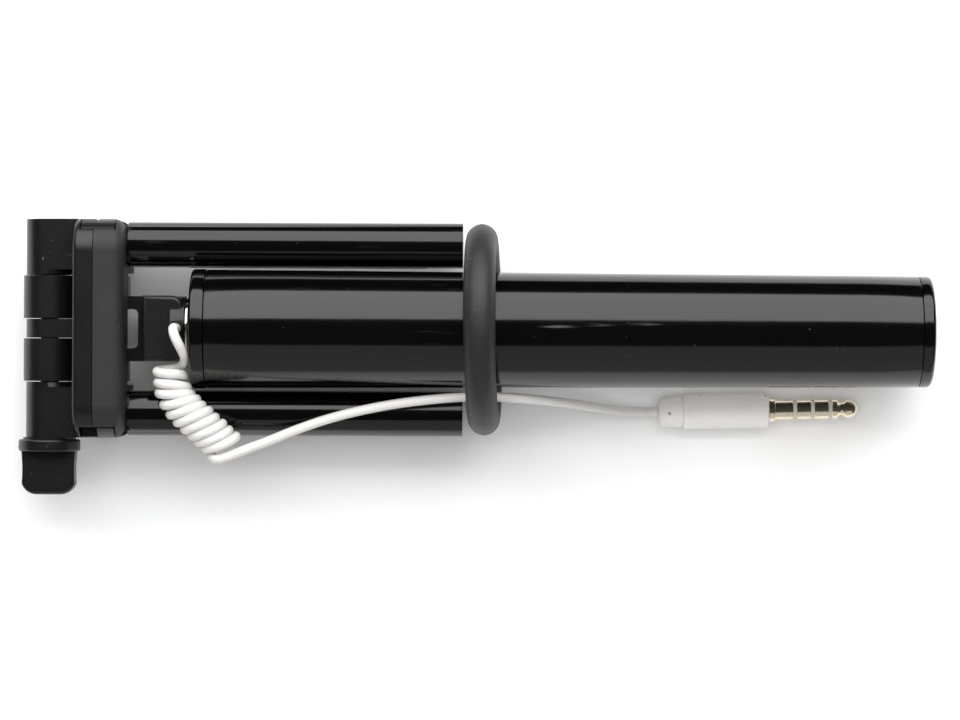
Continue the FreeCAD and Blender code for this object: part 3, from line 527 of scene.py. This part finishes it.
def metal(name, shade, dark, gloss, stretch):
    """Bare or plated metal with fine drawing lines."""
    finish = Finish(name)
    lines = finish.noise(700, 3, 0.6, stretch)
    blotch = finish.step(finish.noise(180, 3), 0.45, 0.8)
    finish.set(Base_Color=finish.mix(blotch * 0.6, shade, dark), Metallic=1.0,
               Roughness=gloss + lines * 0.16, Normal=finish.bump(lines, 0.000006))
    return finish.material


steel = metal("drawn_steel", (0.62, 0.61, 0.60, 1), (0.46, 0.45, 0.44, 1), 0.16, (0.04, 1, 1))
bright = metal("bright_plating", (0.80, 0.79, 0.77, 1), (0.60, 0.58, 0.56, 1), 0.05, (1, 1, 1))
refined("tact_switch", "handle", bright, 0.08)
refined("board_screws", "handle", steel)


# ---- Pole: six drawn steel tubes that slide one inside the other ----
# All but the thinnest have the mouth rolled in. The first is fixed in the handle, and the other
# five have an acetal bush pressed on the rear end.

acetal = Finish("natural_acetal")
acetal.set(Base_Color=acetal.mix(acetal.noise(240), (0.72, 0.71, 0.67, 1), (0.62, 0.61, 0.57, 1)),
           Roughness=0.38 + acetal.noise(600) * 0.1, Normal=acetal.bump(acetal.noise(900), 0.00002))
WALL = 0.35
MOUTH_STEP = 0.75
ROLL_R = 0.3
LIP_LEN = 1.5
for number in range(1, 7):
    node = "section_%d" % number
    body = {1: "handle", 6: "head"}.get(number, node)
    low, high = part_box(node)
    start = low.x / MM
    end = high.x / MM
    radius = high.z / MM
    mouth_r = radius - WALL if number == 6 else radius - MOUTH_STEP
    outline = [(start, mouth_r), (start, radius - ROLL_R)]
    for turn_number in range(1, 7):
        turn = math.pi / 2 * turn_number / 6
        outline.append((start + ROLL_R * (1 - math.cos(turn)), radius - ROLL_R * (1 - math.sin(turn))))
    outline += [(end - 0.08, radius), (end, radius - 0.08), (end, radius - WALL),
                (start + LIP_LEN + 0.2, radius - WALL), (start + LIP_LEN, mouth_r)]
    section = piece_object("pole_tube_%d" % number, turned(node, outline, 160), steel, body)
    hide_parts(node)
    if number > 1:
        refined("section_%d_bush" % number, body, acetal.material)


# ---- Head: satin nylon fork, with its spigot pressed into the thinnest tube ----
# A bright ferrule sits between the tube's mouth and the fork's boss, and the cord comes up
# through a small grommet in the boss.

refined("fork_bracket", "head", satin_black, 0.35)
refined("ferrule", "head", bright)
refined("cord_grommet", "head", satin_black)


# ---- Phone holder: satin back shell with three hinge knuckles, and a soft-touch front cover ----
# Two screws join them; a nut is trapped in the end knuckle and a washer sits under the knob.

soft_touch = grained_moulding("soft_touch_black", (0.016, 0.0157, 0.0160, 1), 0.52, 2600, 0.00003, 0.35)
refined("plate_back", "holder", satin_black, 0.25)
refined("plate_cover", "holder", soft_touch, 0.15)
refined("plate_screws", "holder", steel, 0.1)
refined("trapped_nut", "holder", steel, 0.2)
refined("hinge_washer", "holder", satin_black)


# ---- Wing knob: satin nylon, moulded on the head end of the hinge bolt ----
# The bolt is blackened steel. It runs through the fork and the knuckles into the trapped nut.

refined("knob", "knob", satin_black, 0.3)
black_oxide = metal("black_oxide_steel", (0.02, 0.02, 0.022, 1), (0.012, 0.012, 0.012, 1), 0.3,
                    (1, 1, 1))
refined("hinge_bolt", "knob", black_oxide, 0.1)


# ---- Jaws: two black moulded arms that straddle the folded handle, each with a rubber pad ----
# The arms are polished. Their sliders run inside the plate and are left satin.

pad_rubber = grained_moulding("pad_rubber", (0.018, 0.018, 0.018, 1), 0.62, 1800, 0.00004, 0.6)
cover_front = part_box("plate_cover")[1].x
for half in ("upper", "lower"):
    arm = refined(half + "_arm", half + "_jaw", gloss_black, 0.2)
    arm.data.materials.append(satin_black)
    for face in arm.data.polygons:
        face.material_index = 1 if face.center.x < cover_front else 0
    refined(half + "_pad", half + "_jaw", pad_rubber)


# ---- Return springs: music wire, one for each jaw ----
# Each is wound between its jaw's block and a post in the cover, and pulls the jaw in.

def spring_tree():
    """Geometry Nodes tree that runs a round wire along a spiral, and its inputs' identifiers."""
    tree = bpy.data.node_groups.new("wound_spring", "GeometryNodeTree")
    sockets = {}
    for label, kind in (("Turns", "NodeSocketFloat"), ("Radius", "NodeSocketFloat"),
                        ("Length", "NodeSocketFloat"), ("Wire", "NodeSocketFloat"),
                        ("Finish", "NodeSocketMaterial")):
        item = tree.interface.new_socket(label, in_out="INPUT", socket_type=kind)
        sockets[label] = item.identifier
    tree.interface.new_socket("Geometry", in_out="OUTPUT", socket_type="NodeSocketGeometry")
    given = tree.nodes.new("NodeGroupInput")
    result = tree.nodes.new("NodeGroupOutput")
    spiral = tree.nodes.new("GeometryNodeCurveSpiral")
    spiral.inputs["Resolution"].default_value = 20
    wire = tree.nodes.new("GeometryNodeCurvePrimitiveCircle")
    wire.inputs["Resolution"].default_value = 10
    solid = tree.nodes.new("GeometryNodeCurveToMesh")
    solid.inputs["Fill Caps"].default_value = True
    whole = tree.nodes.new("GeometryNodeRealizeInstances")
    painted = tree.nodes.new("GeometryNodeSetMaterial")
    link = tree.links.new
    link(given.outputs["Turns"], spiral.inputs["Rotations"])
    link(given.outputs["Radius"], spiral.inputs["Start Radius"])
    link(given.outputs["Radius"], spiral.inputs["End Radius"])
    link(given.outputs["Length"], spiral.inputs["Height"])
    link(given.outputs["Wire"], wire.inputs["Radius"])
    link(spiral.outputs["Curve"], solid.inputs["Curve"])
    link(wire.outputs["Curve"], solid.inputs["Profile Curve"])
    link(solid.outputs["Mesh"], whole.inputs["Geometry"])
    link(whole.outputs["Geometry"], painted.inputs["Geometry"])
    link(given.outputs["Finish"], painted.inputs["Material"])
    link(painted.outputs["Geometry"], result.inputs["Geometry"])
    return tree, sockets


def baked(piece):
    """The piece's modifiers turned into its own mesh."""
    view = bpy.context.evaluated_depsgraph_get()
    mesh = bpy.data.meshes.new_from_object(piece.evaluated_get(view))
    piece.modifiers.clear()
    piece.data = mesh
    return mesh


spring_nodes, spring_inputs = spring_tree()
SPRING_TURNS = 26
SPRING_WIRE = 0.15 * MM
for half in ("upper", "lower"):
    low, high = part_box(half + "_spring")
    carrier = bpy.data.objects.new(half + "_wire", bpy.data.meshes.new(half + "_wire"))
    bpy.context.collection.objects.link(carrier)
    winder = carrier.modifiers.new("winder", "NODES")
    winder.node_group = spring_nodes
    length = high.y - low.y - 2 * SPRING_WIRE
    winder[spring_inputs["Turns"]] = float(SPRING_TURNS)
    winder[spring_inputs["Radius"]] = (high.z - low.z) / 2 - SPRING_WIRE
    winder[spring_inputs["Length"]] = length
    winder[spring_inputs["Wire"]] = SPRING_WIRE
    winder[spring_inputs["Finish"]] = steel
    baked(carrier)
    centre = Vector(((low.x + high.x) / 2, low.y + SPRING_WIRE, (low.z + high.z) / 2))
    carrier.data.transform(Matrix.Translation(centre) @ Matrix.Rotation(math.radians(-90), 4, "X"))
    for face in carrier.data.polygons:
        face.use_smooth = True
    carrier.name = half + "_return_spring"
    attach(carrier, "holder")
    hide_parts(half + "_spring")


# ---- Rubber ring: a loose moulded silicone band round the handle, with a parting line ----
# It leans a little towards the head, and dust clings to it.

ring_low, ring_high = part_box("rubber_ring")
RING_MID_R = 14.95
RING_SECTION_R = 2.65
FLASH = 0.06
ring_centre = (ring_low + ring_high) / 2
ring_place = (Matrix.Translation(ring_centre) @ Matrix.Rotation(math.radians(0.8), 4, "Z")
              @ Matrix.Rotation(math.radians(-2.4), 4, "Y"))
ring_shape = bmesh.new()
AROUND = 160
SECTION = 72
loops = []
for number in range(AROUND):
    angle = 2 * math.pi * number / AROUND
    fullness = 1 + 0.012 * math.sin(2 * angle + 0.6) + 0.008 * math.sin(5 * angle)
    loop = []
    for step in range(SECTION):
        turn = 2 * math.pi * step / SECTION
        flash = FLASH * math.exp(-(math.sin(turn) / 0.07) ** 2)
        radius = RING_SECTION_R * fullness + flash - FLASH
        reach = RING_MID_R + radius * math.cos(turn)
        place = Vector((radius * math.sin(turn), reach * math.sin(angle), reach * math.cos(angle)))
        loop.append(ring_shape.verts.new(ring_place @ (place * MM)))
    loops.append(loop)
for number in range(AROUND):
    after = loops[(number + 1) % AROUND]
    for step in range(SECTION):
        following = (step + 1) % SECTION
        ring_shape.faces.new((loops[number][step], loops[number][following],
                              after[following], after[step]))
bmesh.ops.recalc_face_normals(ring_shape, faces=ring_shape.faces)
ring_mesh = bpy.data.meshes.new("rubber_band_ring")
ring_shape.to_mesh(ring_mesh)
ring_shape.free()
for face in ring_mesh.polygons:
    face.use_smooth = True
ring_rubber = grained_moulding("silicone_rubber", (0.014, 0.014, 0.0145, 1), 0.46, 1500, 0.00008, 1.0)
band = piece_object("silicone_ring", ring_mesh, ring_rubber, "rubber_ring")
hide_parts("rubber_ring")


# ---- Table and light: a white sheet, a long softbox on the far side, a weak light on the near side ----

table_mesh = bpy.data.meshes.new("table")
TABLE_Z = -0.0151
SPAN = 3.0
table_mesh.from_pydata([(-SPAN, -SPAN, TABLE_Z), (SPAN, -SPAN, TABLE_Z), (SPAN, SPAN, TABLE_Z),
                        (-SPAN, SPAN, TABLE_Z)], [], [(0, 1, 2, 3)])
table = bpy.data.objects.new("table", table_mesh)
bpy.context.collection.objects.link(table)
paper = Finish("white_paper")
paper.set(Base_Color=(0.93, 0.93, 0.93, 1), Roughness=0.9)
table_mesh.materials.append(paper.material)


def area_light(name, place, aim, width, height, power, glossy=True):
    lamp = bpy.data.lights.new(name, "AREA")
    lamp.shape = "RECTANGLE"
    lamp.size = width
    lamp.size_y = height
    lamp.energy = power
    made = bpy.data.objects.new(name, lamp)
    made.location = place
    made.rotation_euler = (Vector(aim) - Vector(place)).to_track_quat("-Z", "Y").to_euler()
    made.visible_glossy = glossy
    bpy.context.collection.objects.link(made)
    return made


middle = (-0.075, 0, 0)
# The softbox fills the sky from about 20 to 81 degrees off overhead, seen from the handle.
area_light("softbox", (-0.075, 0.58, 0.48), middle, 1.6, 0.88, 14.5)
area_light("near_card", (-0.075, -0.75, 0.42), middle, 1.6, 0.95, 2.4)
area_light("overhead_wash", (-0.075, 0.1, 1.2), middle, 1.2, 1.2, 11, glossy=False)
# A low black flag stands just clear of the sheet on the far side of the handle. It shows in
# reflections only, where it keeps a dark line between sheet and softbox.
FLAG_FOOT = (0.046, -0.0148)
FLAG_TOP = (0.060, 0.012)
FLAG_REACH = 1.0
flag_mesh = bpy.data.meshes.new("flag")
flag_mesh.from_pydata([(-FLAG_REACH, *FLAG_FOOT), (FLAG_REACH, *FLAG_FOOT),
                       (FLAG_REACH, *FLAG_TOP), (-FLAG_REACH, *FLAG_TOP)], [], [(0, 1, 2, 3)])
flag = bpy.data.objects.new("flag", flag_mesh)
bpy.context.collection.objects.link(flag)
felt = Finish("black_felt")
felt.set(Base_Color=(0.002, 0.002, 0.002, 1), Roughness=1.0)
flag_mesh.materials.append(felt.material)
flag.visible_camera = False
flag.visible_diffuse = False
flag.visible_shadow = False
world = bpy.data.worlds.new("studio")
world.use_nodes = True
backdrop = world.node_tree.nodes["Background"]
backdrop.inputs["Color"].default_value = (1, 1, 1, 1)
backdrop.inputs["Strength"].default_value = 0.05
bpy.context.scene.world = world
bpy.context.scene.view_settings.view_transform = "Standard"
